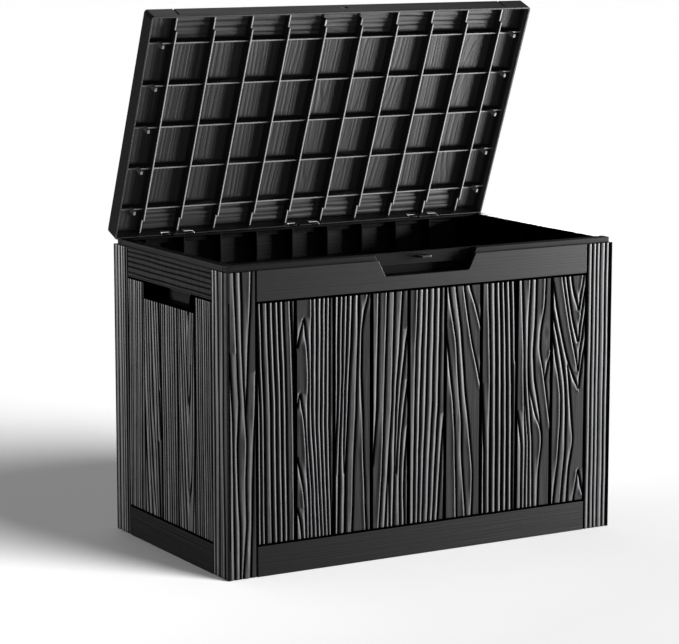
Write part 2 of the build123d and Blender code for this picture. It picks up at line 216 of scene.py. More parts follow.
class Relief:
    """Collects closed slabs with a carved face and makes one mesh of them."""

    def __init__(self, name):
        self.name, self.points, self.quads, self.caps, self.level, self.count = name, [], [], [], [], 0

    def add(self, place, u0, u1, v0, v1, step_u, step_v, height, crest, valley, base, rim=0.9):
        """One slab from (u0, v0) to (u1, v1) with faces about `step` wide, its face between
        `crest` and `valley`, its flat back at `base` and its border rounded over `rim`."""
        edge = np.array([0.0, 0.14, 0.45, 1.0]) * rim
        nu = max(int((u1 - u0 - 2 * rim) / step_u), 3)
        nv = max(int((v1 - v0 - 2 * rim) / step_v), 3)
        us = np.concatenate([u0 + edge, np.linspace(u0 + rim, u1 - rim, nu + 1)[1:-1], (u1 - edge)[::-1]])
        vs = np.concatenate([v0 + edge, np.linspace(v0 + rim, v1 - rim, nv + 1)[1:-1], (v1 - edge)[::-1]])
        u, v = np.meshgrid(us, vs)
        h = height(u - u0, v - v0, us, vs)
        w = valley + (crest - valley) * h
        d = np.minimum(np.minimum(u - u0, u1 - u), np.minimum(v - v0, v1 - v))
        back = np.clip(rim - d, 0, rim)
        w = np.minimum(w + rim - np.sqrt(np.maximum(rim ** 2 - back ** 2, 0)), base - 0.1)
        rows, cols = u.shape
        ids = np.arange(rows * cols).reshape(rows, cols) + self.count
        loop = np.concatenate([ids[0, :-1], ids[:-1, -1], ids[-1, :0:-1], ids[:0:-1, 0]])
        local = loop - self.count
        flat_u, flat_v = u.ravel(), v.ravel()
        lower = np.arange(len(loop)) + self.count + rows * cols
        front = np.stack(place(flat_u, flat_v, w.ravel()), 1)
        under = np.stack(place(flat_u[local], flat_v[local], np.full(len(local), float(base))), 1)
        self.points += [front, under]
        cells = np.stack([ids[:-1, :-1], ids[:-1, 1:], ids[1:, 1:], ids[1:, :-1]], -1)
        self.quads.append(cells.reshape(-1, 4))
        nxt, low_nxt = np.roll(loop, -1), np.roll(lower, -1)
        self.quads.append(np.stack([loop, lower, low_nxt, nxt], -1))
        self.caps.append(lower[::-1])
        self.level += [(h * np.clip(d / rim, 0, 1) ** 0.5).ravel(), np.zeros(len(loop))]
        self.count += rows * cols + len(loop)

    def finish(self, material, body, slot):
        points = np.concatenate(self.points) * 0.001
        quads = np.concatenate(self.quads)
        mesh = bpy.data.meshes.new(self.name)
        mesh.vertices.add(len(points))
        mesh.vertices.foreach_set("co", points.astype(np.float32).ravel())
        corners = np.concatenate([quads.ravel()] + self.caps).astype(np.int32)
        totals = np.concatenate([np.full(len(quads), 4), [len(c) for c in self.caps]]).astype(np.int32)
        mesh.loops.add(len(corners))
        mesh.loops.foreach_set("vertex_index", corners)
        mesh.polygons.add(len(totals))
        mesh.polygons.foreach_set("loop_start", (np.cumsum(totals) - totals).astype(np.int32))
        mesh.polygons.foreach_set("use_smooth", np.ones(len(totals), bool))
        mesh.update(calc_edges=True)
        mesh.validate()
        mesh.set_sharp_from_angle(angle=math.radians(70))
        level = mesh.attributes.new("grain", "FLOAT", "POINT")
        level.data.foreach_set("value", np.concatenate(self.level).astype(np.float32))
        mesh.materials.append(material)
        piece = bpy.data.objects.new(self.name, mesh)
        bpy.context.scene.collection.objects.link(piece)
        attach(piece, body)
        return piece


# ---------------------------------------------------------------- materials

def new_material(name):
    mat = bpy.data.materials.new(name)
    mat.use_nodes = True
    tree = mat.node_tree
    shader = tree.nodes["Principled BSDF"]
    return mat, tree, shader


def noise(tree, stretch, scale, detail=3.0):
    """Noise in the object's own space, stretched along the axes."""
    coord = tree.nodes.new("ShaderNodeTexCoord")
    mapping = tree.nodes.new("ShaderNodeMapping")
    mapping.inputs["Scale"].default_value = stretch
    tex = tree.nodes.new("ShaderNodeTexNoise")
    tex.inputs["Scale"].default_value = scale
    tex.inputs["Detail"].default_value = detail
    tree.links.new(coord.outputs["Object"], mapping.inputs["Vector"])
    tree.links.new(mapping.outputs["Vector"], tex.inputs["Vector"])
    return tex.outputs["Fac"]


def mapped(tree, value, lo, hi, to_lo, to_hi):
    node = tree.nodes.new("ShaderNodeMapRange")
    node.inputs["From Min"].default_value = lo
    node.inputs["From Max"].default_value = hi
    node.inputs["To Min"].default_value = to_lo
    node.inputs["To Max"].default_value = to_hi
    tree.links.new(value, node.inputs["Value"])
    return node.outputs["Result"]


def tinted(tree, factor, dark, light):
    node = tree.nodes.new("ShaderNodeMix")
    node.data_type = "RGBA"
    node.inputs["A"].default_value = (*dark, 1)
    node.inputs["B"].default_value = (*light, 1)
    tree.links.new(factor, node.inputs["Factor"])
    return node.outputs["Result"]


def overlaid(tree, factor, color, shade, blend="MIX"):
    """A colour with one flat shade laid over it as far as the factor says."""
    node = tree.nodes.new("ShaderNodeMix")
    node.data_type = "RGBA"
    node.blend_type = blend
    node.inputs["B"].default_value = (*shade, 1)
    tree.links.new(factor, node.inputs["Factor"])
    tree.links.new(color, node.inputs["A"])
    return node.outputs["Result"]


def multiplied(tree, color, other):
    node = tree.nodes.new("ShaderNodeMix")
    node.data_type = "RGBA"
    node.blend_type = "MULTIPLY"
    node.inputs["Factor"].default_value = 1.0
    tree.links.new(color, node.inputs["A"])
    tree.links.new(other, node.inputs["B"])
    return node.outputs["Result"]


def bumped(tree, shader, height, strength, distance):
    node = tree.nodes.new("ShaderNodeBump")
    node.inputs["Strength"].default_value = strength
    node.inputs["Distance"].default_value = distance
    tree.links.new(height, node.inputs["Height"])
    tree.links.new(node.outputs["Normal"], shader.inputs["Normal"])


def combined(tree, operation, *values):
    """Two or more values, sockets or numbers, through one kind of math node."""
    out = values[0]
    for value in values[1:]:
        node = tree.nodes.new("ShaderNodeMath")
        node.operation = operation
        for socket, given in zip(node.inputs, (out, value)):
            if isinstance(given, (int, float)):
                socket.default_value = given
            else:
                tree.links.new(given, socket)
        out = node.outputs[0]
    return out


def wall_masks(tree, axis, face):
    """For a wall whose outer face is `face` m out along the axis: 1 on the sunk field between
    its boards, and 1 on everything set further in, such as the collar and the recesses."""
    coord = tree.nodes.new("ShaderNodeTexCoord")
    split = tree.nodes.new("ShaderNodeSeparateXYZ")
    tree.links.new(coord.outputs["Object"], split.inputs["Vector"])
    out = tree.nodes.new("ShaderNodeMath")
    out.operation = "ABSOLUTE"
    tree.links.new(split.outputs[axis], out.inputs[0])
    sunk = mapped(tree, out.outputs[0], face - 0.0014, face - 0.0028, 0, 1)
    outer = mapped(tree, out.outputs[0], face - 0.0062, face - 0.0054, 0, 1)
    field_top, field_foot = (LEDGE - RAIL) / 1000, RAIL / 1000
    below = mapped(tree, split.outputs["Z"], field_top + 0.0012, field_top + 0.0004, 0, 1)
    above = mapped(tree, split.outputs["Z"], field_foot - 0.0007, field_foot - 0.0001, 0, 1)
    inner = mapped(tree, out.outputs[0], face - 0.0030, face - 0.0044, 0, 1)
    return combined(tree, "MULTIPLY", sunk, outer, below, above), inner


def smooth_resin(name, stretch, level=0.012, gloss=0.48, shine=0.40, joints=None):
    """Black resin with a fine brushed grain drawn out along one axis. With `joints`, the axis
    and place of a wall's face, the joints between boards and all that is set in read darker."""
    mat, tree, shader = new_material(name)
    streaks = noise(tree, stretch, 1.0, 4.0)
    mottle = noise(tree, (1, 1, 1), 35.0, 3.0)
    mixed = tree.nodes.new("ShaderNodeMath")
    mixed.operation = "MULTIPLY_ADD"
    mixed.inputs[1].default_value = 0.35
    tree.links.new(mottle, mixed.inputs[0])
    tree.links.new(streaks, mixed.inputs[2])
    both = mapped(tree, mixed.outputs[0], 0.45, 0.95, 0, 1)
    dark = tuple(level * k for k in (0.50, 0.50, 0.51))
    light = tuple(level * k for k in (1.50, 1.50, 1.54))
    color = tinted(tree, both, dark, light)
    if joints:
        mask, inner = wall_masks(tree, *joints)
        for factor, shade in ((inner, 0.20), (mask, 0.02)):
            color = overlaid(tree, factor, color, (shade, shade, shade), "MULTIPLY")
        dulled = combined(tree, "MULTIPLY", mapped(tree, mask, 0, 1, shine, 0.0),
                          mapped(tree, inner, 0, 1, 1.0, 0.35))
        tree.links.new(dulled, shader.inputs["Specular IOR Level"])
    tree.links.new(color, shader.inputs["Base Color"])
    tree.links.new(mapped(tree, both, 0, 1, gloss + 0.07, gloss - 0.05), shader.inputs["Roughness"])
    bumped(tree, shader, streaks, 0.8, 0.0006)
    return mat


def lid_resin(name):
    """The lid's resin. Its ribs are painted for the look: dark sides and light edges, which
    fade to the right in each cell on the cross ribs, like a shadow that never moves. The right
    end face is painted black."""
    mat, tree, shader = new_material(name)
    coord = tree.nodes.new("ShaderNodeTexCoord")
    away = tree.nodes.new("ShaderNodeVectorMath")
    away.operation = "SUBTRACT"
    away.inputs[1].default_value = (0, HINGE_Y / 1000, HINGE_Z / 1000)
    tree.links.new(coord.outputs["Object"], away.inputs[0])
    a = math.radians(LID_OPEN)

    def along(direction):
        node = tree.nodes.new("ShaderNodeVectorMath")
        node.operation = "DOT_PRODUCT"
        node.inputs[1].default_value = direction
        tree.links.new(away.outputs[0], node.inputs[0])
        return node.outputs["Value"]

    # Metres from the hinge in the closed lid's own directions: right, back and up.
    side = along((1, 0, 0))
    reach = along((0, math.cos(a), -math.sin(a)))
    rise = along((0, math.sin(a), math.cos(a)))
    inner_x, inner_back, inner_front, skin = 0.3318, -0.0059, -0.3704, 0.0172
    blend = 0.0004
    inside = combined(tree, "MULTIPLY",
                      mapped(tree, side, inner_x + blend, inner_x, 0, 1),
                      mapped(tree, side, -inner_x - blend, -inner_x, 0, 1),
                      mapped(tree, reach, inner_back + blend, inner_back, 0, 1),
                      mapped(tree, reach, inner_front - blend, inner_front, 0, 1),
                      mapped(tree, rise, skin + blend, skin, 0, 1))

    # The height at which the rib at each place ends, and how far above that end we are.
    depth = combined(tree, "ADD", reach, HINGE_Y / 1000)
    trim_x, trim_y, half_blend = TRIM_X / 1000, TRIM_Y / 1000, blend / 2
    trimmed = combined(tree, "MAXIMUM",
                       mapped(tree, combined(tree, "ABSOLUTE", side, 0.0),
                              trim_x - half_blend, trim_x + half_blend, 0, 1),
                       mapped(tree, combined(tree, "ABSOLUTE", depth, 0.0),
                              trim_y - half_blend, trim_y + half_blend, 0, 1))
    from_rib = combined(tree, "ADD", side, FIELD / 1000)
    to_rib = combined(tree, "PINGPONG", from_rib, FRONT_PITCH / 2000)
    on_rib = mapped(tree, to_rib, RIB_T / 2000, RIB_T / 2000 + 0.0005, 1.0, 0.0)
    cross_end, long_end, trim_end = ((z - HINGE_Z) / 1000 for z in (CROSS_RIB_END_Z, RIB_END_Z, RIB_TRIM_Z))
    middle = mapped(tree, on_rib, 0, 1, cross_end, long_end)
    more = combined(tree, "MULTIPLY", trimmed, combined(tree, "SUBTRACT", trim_end, middle))
    up = combined(tree, "SUBTRACT", rise, combined(tree, "ADD", middle, more))

    edge_top, side_foot = 0.0004, 0.0012
    deep = combined(tree, "MULTIPLY", inside, mapped(tree, up, edge_top, side_foot, 0, 1))
    across_cell = combined(tree, "FLOORED_MODULO", from_rib, FRONT_PITCH / 1000)
    on_cross_rib = mapped(tree, across_cell, 0.038, 0.060, 0.62, 0.04)
    edge = combined(tree, "MULTIPLY", inside, mapped(tree, up, side_foot, edge_top, 0, 1),
                    combined(tree, "MAXIMUM", on_rib, on_cross_rib))
    right_end = mapped(tree, side, WIDTH / 2000 - 0.0012, WIDTH / 2000 - 0.0006, 0, 1)

    streaks = noise(tree, (9, 260, 260), 1.0, 4.0)
    color = tinted(tree, streaks, (0.010, 0.010, 0.0102), (0.022, 0.022, 0.0225))
    color = overlaid(tree, deep, color, (0.028, 0.028, 0.028))
    color = overlaid(tree, edge, color, (0.29, 0.29, 0.293))
    color = overlaid(tree, right_end, color, (0.002, 0.002, 0.002))
    tree.links.new(color, shader.inputs["Base Color"])
    tree.links.new(mapped(tree, streaks, 0.3, 0.7, 0.48, 0.36), shader.inputs["Roughness"])
    shine = combined(tree, "MULTIPLY", mapped(tree, deep, 0, 1, 0.45, 0.0),
                     mapped(tree, right_end, 0, 1, 1.0, 0.04))
    tree.links.new(shine, shader.inputs["Specular IOR Level"])
    bumped(tree, shader, streaks, 0.5, 0.0004)
    return mat


def grain_resin(name, dark, light, gloss=0.40):
    """Black resin on moulded grain, painted dark in the hollows and lighter on the crests."""
    mat, tree, shader = new_material(name)
    attr = tree.nodes.new("ShaderNodeAttribute")
    attr.attribute_name = "grain"
    ramp = tree.nodes.new("ShaderNodeValToRGB")
    ramp.color_ramp.elements[0].position = 0.2
    ramp.color_ramp.elements[0].color = (*dark, 1)
    ramp.color_ramp.elements[1].position = 1.0
    ramp.color_ramp.elements[1].color = (*light, 1)
    ramp.color_ramp.elements.new(0.62).color = (*(0.22 * c for c in light), 1)
    tree.links.new(attr.outputs["Fac"], ramp.inputs["Fac"])
    mottle = noise(tree, (1, 1, 1), 60.0, 4.0)
    patchy = tinted(tree, mottle, (0.72, 0.72, 0.72), (1.25, 1.25, 1.27))
    fibre = mapped(tree, noise(tree, (420, 420, 9), 1.0, 3.0), 0.35, 0.65, 0, 1)
    fibrous = tinted(tree, fibre, (0.62, 0.62, 0.62), (1.3, 1.3, 1.32))
    color = multiplied(tree, multiplied(tree, ramp.outputs["Color"], patchy), fibrous)
    tree.links.new(color, shader.inputs["Base Color"])
    rough = combined(tree, "ADD", mapped(tree, mottle, 0.3, 0.7, gloss - 0.04, gloss + 0.08),
                     mapped(tree, attr.outputs["Fac"], 0.3, 0.8, 0.4, 0.0))
    tree.links.new(rough, shader.inputs["Roughness"])
    shine = mapped(tree, attr.outputs["Fac"], 0.35, 0.95, 0.02, 0.36)
    tree.links.new(shine, shader.inputs["Specular IOR Level"])
    bumped(tree, shader, noise(tree, (1, 1, 1), 900.0, 2.0), 0.12, 0.0003)
    return mat


def steel(name):
    mat, tree, shader = new_material(name)
    lines = noise(tree, (30, 900, 900), 1.0, 3.0)
    tree.links.new(tinted(tree, lines, (0.46, 0.46, 0.47), (0.60, 0.60, 0.61)), shader.inputs["Base Color"])
    tree.links.new(mapped(tree, lines, 0.3, 0.7, 0.24, 0.40), shader.inputs["Roughness"])
    shader.inputs["Metallic"].default_value = 1.0
    return mat


def acetal(name):
    mat, tree, shader = new_material(name)
    soft = noise(tree, (1, 1, 1), 220.0, 3.0)
    tree.links.new(tinted(tree, soft, (0.50, 0.50, 0.48), (0.59, 0.59, 0.57)), shader.inputs["Base Color"])
    tree.links.new(mapped(tree, soft, 0.3, 0.7, 0.38, 0.52), shader.inputs["Roughness"])
    return mat


resin_x = smooth_resin("resin_x", (5, 420, 420), joints=("Y", DEPTH / 2000))
resin_y = smooth_resin("resin_y", (420, 5, 420), level=0.0045, shine=0.16, joints=("X", WIDTH / 2000))
resin_lid = lid_resin("resin_lid")
resin_tab = smooth_resin("resin_tab", (5, 420, 420), level=0.006, gloss=0.6)
resin_front = grain_resin("resin_front_grain", (0.002, 0.002, 0.002), (0.140, 0.140, 0.144), gloss=0.48)
resin_side = grain_resin("resin_side_grain", (0.002, 0.002, 0.002), (0.130, 0.130, 0.133), gloss=0.44)
resin_print = smooth_resin("resin_print", (210, 6, 6), level=0.019, gloss=0.34)
resin_end_print = smooth_resin("resin_end_print", (7, 150, 150), level=0.019, gloss=0.34)
metal, bush = steel("zinc_steel"), acetal("acetal")

NODE_LOOK = {
    "front_panel": resin_x, "back_panel": resin_x, "base_panel": resin_x, "padlock_eye": resin_tab,
    "left_panel": resin_y, "right_panel": resin_y, "lid_panel": resin_lid,
}


def dress(name, node):
    """One CAD node's material, with its seams welded and its edges softened."""
    is_panel = name.endswith("panel")
    node.data.materials.clear()
    node.data.materials.append(NODE_LOOK.get(name) or (bush if "bush" in name else metal))
    weld = node.modifiers.new("weld", "WELD")
    weld.merge_threshold = 0.00001
    soft_edge = node.modifiers.new("edges", "BEVEL")
    soft_edge.width = 0.0006 if is_panel else 0.0002
    soft_edge.use_clamp_overlap = not is_panel
    soft_edge.segments = 2
    soft_edge.limit_method = "ANGLE"
    soft_edge.angle_limit = math.radians(40)
    soft_edge.harden_normals = True


for name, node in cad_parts.items():
    dress(name, node)

# ---------------------------------------------------------------- grain on the walls

# The front's boards from left to right. The first has random grain, the others drawn grooves.
FRONT_BOARDS = [
    grain(11, power=1.2, rough=0.45, pitch=9.2, centre=-60, drift=((0, 9), (200, 7), (352, 2))),
    drawn(12, [[(283, 0), (305, 6), (324, 11)],
               [(0, 27), (77, 24), (140, 19), (165, 18), (240, 19.5), (275, 17.5), (300, 14.5), (324, 11.4)],
               [(195, 0), (214, 5)],
               [(0, 20), (48, 20), (77, 18.6), (112, 16), (148, 14), (171, 12.5), (192, 9), (214, 5.4)],
               [(0, 15), (39, 14), (68, 11), (98, 6), (121, -1)], [(0, 8.5), (30, 5), (45, -1)],
               [(0, 34), (100, 30), (165, 25), (250, 24), (352, 25)], [(0, 40), (165, 32), (352, 32.5)],
               [(0, 46), (165, 39), (352, 41)], [(0, 52), (165, 46), (352, 48)],
               [(0, 57.3), (60, 56), (165, 53), (352, 54.5)]]),
    drawn(13, [[(90, -1), (180, 3.5), (352, 6)], [(0, 4.5), (100, 6.5), (180, 9), (240, 11.5), (352, 13)],
               [(90, 16), (120, 14.5), (210, 15.5), (270, 19), (352, 20.5)],
               [(0, 15.7), (90, 17), (181, 21), (270, 26), (352, 29)],
               [(0, 28), (33, 29.4), (120, 31.4), (181, 34.7), (270, 38), (352, 39.7)],
               [(0, 52), (60, 50), (120, 47), (181, 46.8), (240, 44), (300, 44.4), (330, 50), (352, 56)]],
          power=0.8),
    drawn(14, [[(95, -1), (176, 6.5), (352, 10)], [(0, 10), (87, 15.5), (176, 19), (352, 24.5)],
               [(0, 21), (87, 26), (176, 32), (352, 37)], [(0, 28), (60, 27.5), (115, 28)],
               [(0, 34.5), (90, 37.5), (176, 39), (215, 41), (265, 45.6), (352, 50.4)],
               [(80, 40), (131, 42.5), (170, 44.6), (206, 48), (265, 55), (295, 60)],
               [(0, 47), (86, 46), (131, 48.5), (176, 53.5), (218, 60)],
               [(0, 55), (57, 53), (101, 55.5), (146, 60)]]),
    drawn(15, [[(0, 6.8), (176, 8.5), (260, 10), (352, 13.3)], [(0, 14), (176, 17.5), (352, 23.6)],
               [(0, 21.5), (100, 25), (176, 28), (352, 32)], [(0, 31.8), (90, 35), (176, 39.3), (352, 42.8)],
               [(0, 40), (90, 45), (176, 49.6), (352, 52.7)], [(0, 48), (60, 52), (130, 57), (160, 60)]]),
    drawn(16, [[(0, 18.4), (117, 15.6), (178, 11.3), (254, 3), (290, -2)],
               [(0, 34.4), (87, 28), (147, 27), (193, 22), (269, 16.7), (330, 6), (352, 2)],
               [(0, 46), (71, 46.5), (144, 39.7), (193, 33), (284, 25.5), (352, 15)],
               [(195, 61), (226, 54), (269, 43.3), (352, 29)], [(285, 61), (315, 52), (352, 39.7)]]),
    drawn(17, [[(0, 5), (100, 4), (200, -1)], [(0, 15.4), (200, 14), (352, 9.6)],
               [(0, 26), (200, 25), (352, 21.5)],
               [(0, 36), (200, 35), (352, 30.5)], [(0, 45.5), (200, 44), (352, 38.5)],
               [(0, 54.7), (200, 53.4), (352, 48)], [(230, 60), (352, 56.5)]], power=1.0),
    drawn(18, [[(0, 8), (100, 7.5), (150, -1)], [(0, 14.4), (102, 15), (150, 12.5), (200, 11), (240, 10.7)],
               [(0, 21.6), (102, 20.5), (145, 16.5), (200, 12), (286, 9), (352, 7)],
               [(0, 29), (102, 27), (140, 24), (182, 20), (215, 18.7), (250, 19)],
               [(0, 39), (55, 40), (102, 45), (120, 43), (145, 33), (182, 22), (225, 18.9),
                (286, 19.4), (352, 22)],
               [(105, 45), (120, 43.6), (140, 41), (165, 37.5), (194, 31.3), (240, 28.4),
                (286, 31.3), (352, 32.8)],
               [(120, 61), (157, 55), (197, 49), (243, 40), (270, 41), (290, 44), (310, 48), (352, 49.5)],
               [(195, 49.6), (215, 53), (240, 61)]],
          knot=(51, 268, 6, 14)),
    drawn(19, [[(300, 47), (312, 43), (330, 37), (352, 33)], [(300, 47.5), (325, 51), (352, 56)],
               [(250, 47), (262, 43), (280, 37), (310, 31), (352, 24)],
               [(250, 47.5), (280, 50.5), (310, 55), (340, 61)],
               [(205, 47.5), (220, 44), (240, 39), (270, 32), (310, 24), (352, 16)],
               [(205, 48), (240, 51), (270, 55.5), (300, 61)],
               [(176, 48.5), (205, 34), (235, 24), (270, 15), (300, 8), (345, -1)],
               [(176, 49), (200, 51.5), (225, 55), (250, 61)],
               [(0, 17), (80, 25), (143, 26), (190, 23.5), (230, 16), (260, 9), (300, -2)],
               [(0, 3.5), (65, 11), (127, 15.5), (170, 15.5), (215, 8.5), (245, 3), (270, -2)],
               [(0, 29), (50, 32), (95, 39.5), (108, 38.5), (170, 33), (215, 28)],
               [(0, 41), (47, 49)], [(10, 59), (30, 54), (47, 49.5)]], power=0.8),
]
LEFT_POST = drawn(31, [[(0, 15), (67, 15.5), (139, 12.5), (197, 11), (255, 15), (290, 13),
                        (360, 10), (447, 7.5)],
                       [(0, 19.5), (80, 26), (139, 25), (197, 26.5), (255, 24), (342, 19.5), (447, 18)],
                       [(240, 25), (284, 27.5), (371, 32), (447, 35)],
                       [(0, 32), (130, 35.5), (197, 38), (300, 42)],
                       [(0, 6), (139, 5.5), (240, 4), (330, -1)]])
RIGHT_POST = grain(32, pitch=8.0, centre=-64, rough=0.3)


def random_board(seed, wide):
    """A board of a random kind: straight, leaning, arched or with a knot."""
    rng = np.random.default_rng(seed)
    kind, pitch = rng.integers(0, 6), rng.uniform(6.8, 9.6)
    tall = 360.0
    if kind <= 2:
        lean = rng.uniform(-9, 9)
        return grain(seed, pitch=pitch, pitch_far=pitch * rng.uniform(0.9, 1.5), length=wide, centre=-60,
                     drift=((0, lean), (tall * 0.5, lean * rng.uniform(0, 1)), (tall, 0)))
    middle = rng.uniform(0.15, 0.85) * wide
    if kind <= 4:
        base, rise = rng.uniform(0, 1), rng.uniform(2.5, 5.0) * rng.choice([-1, 1])
        ends = (base, base + abs(rise)) if rise > 0 else (base + abs(rise), base)
        return grain(seed, pitch=pitch, centre=middle, sharp=rng.uniform(1.2, 1.8),
                     pull=((0, ends[0]), (tall, ends[1])))
    knot = rng.uniform(0.2, 0.8) * tall
    return grain(seed, pitch=pitch, centre=middle, sharp=1.6,
                 pull=((0, knot / 48), (knot, 0.1), (tall, (tall - knot) / 48)))


def carve_boards(store, place, pitch, boards, step_u, step_v):
    """The plank field of one wall: boards between dark joints, from rail to rail."""
    half = pitch * len(boards) / 2
    for i, board in enumerate(boards):
        u = -half + i * pitch
        store.add(place, u + JOINT_HALF, u + pitch - JOINT_HALF, RAIL + RAIL_GAP,
                  LEDGE - RAIL - RAIL_GAP, step_u, step_v, board, *BOARD_LEVELS)


def carve_posts(store, place, span, boards, step_u, step_v):
    """The two corner posts of one wall, the one at negative u first."""
    near, far = span
    for (u0, u1), board in zip(((-far, -near), (near, far)), boards):
        store.add(place, u0, u1, *POST_ENDS, step_u, step_v, board, *POST_LEVELS, rim=0.6)


front = Relief("front_grain")
carve_boards(front, on_front, FRONT_PITCH, FRONT_BOARDS, 0.8, 2.7)
front.finish(resin_front, "body", "black_resin")
posts = Relief("front_post_grain")
carve_posts(posts, on_front, FRONT_POST_SPAN, (LEFT_POST, RIGHT_POST), 0.75, 2.8)
posts.finish(resin_front, "body", "black_resin")

back = Relief("back_grain")
back_boards = [random_board(60 + i, 60.0) for i in range(FRONT_PLANKS)]
carve_boards(back, on_back, FRONT_PITCH, back_boards, 1.0, 3.4)
back_posts = [grain(80 + i, pitch=8.0, centre=-64, rough=0.6) for i in range(2)]
carve_posts(back, on_back, FRONT_POST_SPAN, back_posts, 1.0, 4.0)
back.finish(resin_front, "body", "black_resin")

# The side walls. The three middle boards stop below the hand pocket.
HAND_TOP, HAND_FOOT = LEDGE - RAIL, 376.0
SIDE_BOARDS = [
    grain(101, pitch=6.6, pitch_far=9.0, length=52, centre=-60, rough=0.6, drift=((0, -3), (352, 4))),
    drawn(102, [[(0, 20), (90, 13), (180, 8), (352, 4)], [(0, 33), (90, 21), (160, 15.5), (352, 12)],
                [(0, 40), (100, 34), (180, 24), (352, 20)], [(0, 46), (180, 38), (352, 28)],
                [(120, 50), (200, 45), (352, 36)], [(200, 51), (352, 44)], [(0, 8), (60, 4), (130, -1)]]),
    grain(103, pitch=7.4, centre=-60, rough=0.4, drift=((0, 2), (352, -1))),
    grain(104, pitch=6.6, centre=34, sharp=1.5, rough=0.5, pull=((0, 3.4), (352, 0.8))),
    grain(105, pitch=6.8, centre=-60, rough=0.4, drift=((0, 3), (352, 0))),
]
FAR_POST = drawn(110, [[(0, 9), (447, 10)], [(0, 21), (200, 22), (447, 20)],
                       [(0, 29.5), (447, 29)], [(0, 36), (447, 36)]])
NEAR_POST = drawn(111, [[(0, 5.5), (447, 6)], [(0, 17), (200, 19), (447, 16)],
                        [(0, 34), (250, 31), (447, 33)]])
for side, place, first in (("left", on_left, 100), ("right", on_right, 120)):
    store = Relief(side + "_grain")
    half = SIDE_PITCH * SIDE_PLANKS / 2
    for i in range(SIDE_PLANKS):
        u = -half + i * SIDE_PITCH
        top = HAND_TOP - RAIL_GAP if i in (0, SIDE_PLANKS - 1) else HAND_FOOT
        board = SIDE_BOARDS[i] if side == "left" else random_board(first + i, 52.0)
        store.add(place, u + SIDE_JOINT_HALF, u + SIDE_PITCH - SIDE_JOINT_HALF, RAIL + RAIL_GAP,
                  top, 0.8, 2.6, board, *BOARD_LEVELS)
    carve_posts(store, place, SIDE_POST_SPAN, (FAR_POST, NEAR_POST), 0.8, 3.0)
    store.add(place, -half + 1.6, half - 1.6, HAND_TOP + 1.8, LEDGE - 1.7, 2.5, 0.7,
              rail_grooves(first + 20, (4.5, 13.0, 21.0, 29.0, 36.0)), 0.1, 1.3, 1.7, rim=0.5)
    store.finish(resin_side, "body", "black_resin")

# ---------------------------------------------------------------- grain on the lid

LID_BOARDS = [random_board(200 + i, 60.0) for i in range(FRONT_PLANKS)]
LID_JOINT_HALF, LID_BOARD_END = 2.0, 136.0
END_NEAR, END_FAR, END_DEEP = FIELD + 1.4, WIDTH / 2 - 3.2, DEPTH / 2 - 3.2
top = Relief("seat_grain")
for i, board in enumerate(LID_BOARDS):
    u = -FIELD + i * FRONT_PITCH
    top.add(on_lid_top, u + LID_JOINT_HALF, u + FRONT_PITCH - LID_JOINT_HALF, -LID_BOARD_END,
            LID_BOARD_END, 0.9, 3.0, board, 0.25, 1.85, 2.2)
END_BOARDS = [grain(seed, pitch=8.0, centre=-64, rough=0.7) for seed in (230, 231)]
for (u0, u1), board in zip(((-END_FAR, -END_NEAR), (END_NEAR, END_FAR)), END_BOARDS):
    top.add(on_lid_top, u0, u1, -END_DEEP, END_DEEP, 0.9, 3.2, board, 0.0, 1.3, 1.7, rim=0.5)
top.finish(resin_side, "lid", "black_resin")


def turned(height):
    """The same grain with its lines running across instead of along."""
    def across(u, v, du, dv):
        return height(v.T, u.T, dv, du).T
    return across


# The lid's underside, cell by cell. A cell carries the print of the board above it, but between
# the end columns the first and last rows carry lines that run across.
floor_print = Relief("lid_underside_grain")
end_print = Relief("lid_underside_end_grain")
ribs_x = [-332.0] + [(i - FRONT_PLANKS / 2) * FRONT_PITCH for i in range(FRONT_PLANKS + 1)] + [332.0]
ribs_y = [-183.0] + LID_RIBS_Y + [183.0]
LAST_COLUMN, LAST_ROW = len(ribs_x) - 2, len(ribs_y) - 2
PRINT_GAP = 0.2
for i in range(LAST_COLUMN + 1):
    for j in range(LAST_ROW + 1):
        x0, x1 = ribs_x[i] + RIB_T / 2, ribs_x[i + 1] - RIB_T / 2
        y0, y1 = ribs_y[j] + RIB_T / 2, ribs_y[j + 1] - RIB_T / 2
        store, crest = floor_print, -0.62
        if 0 < i < LAST_COLUMN and j in (0, LAST_ROW):
            store, crest = end_print, -1.7
            face = turned(grain(300 + i + 20 * j, pitch=9.0, centre=-64, rough=0.8))
        else:
            whole = END_BOARDS[0 if i == 0 else 1] if i in (0, LAST_COLUMN) else LID_BOARDS[i - 1]
            shift = y0 - LID_RIBS_Y[0]

            def face(u, v, du, dv, whole=whole, shift=shift):
                return whole(u, v + shift, du, dv)
        store.add(on_lid_floor, -x1 + PRINT_GAP, -x0 - PRINT_GAP, y0 + PRINT_GAP, y1 - PRINT_GAP,
                  1.3, 2.4, face, crest, -0.28, 0.2, rim=0.3)
floor_print.finish(resin_print, "lid", "black_resin")
end_print.finish(resin_end_print, "lid", "black_resin")

# ---------------------------------------------------------------- stage, light and camera

FLOOR_SIZE, FLOOR_Y, FLOOR_DROP = 120, 20, 0.0004


def by_camera(tree, unseen, seen, output):
    """Sends one shader to camera rays and another to all the rest."""
    path = tree.nodes.new("ShaderNodeLightPath")
    mix = tree.nodes.new("ShaderNodeMixShader")
    tree.links.new(path.outputs["Is Camera Ray"], mix.inputs["Fac"])
    tree.links.new(unseen, mix.inputs[1])
    tree.links.new(seen, mix.inputs[2])
    tree.links.new(mix.outputs["Shader"], tree.nodes[output].inputs["Surface"])


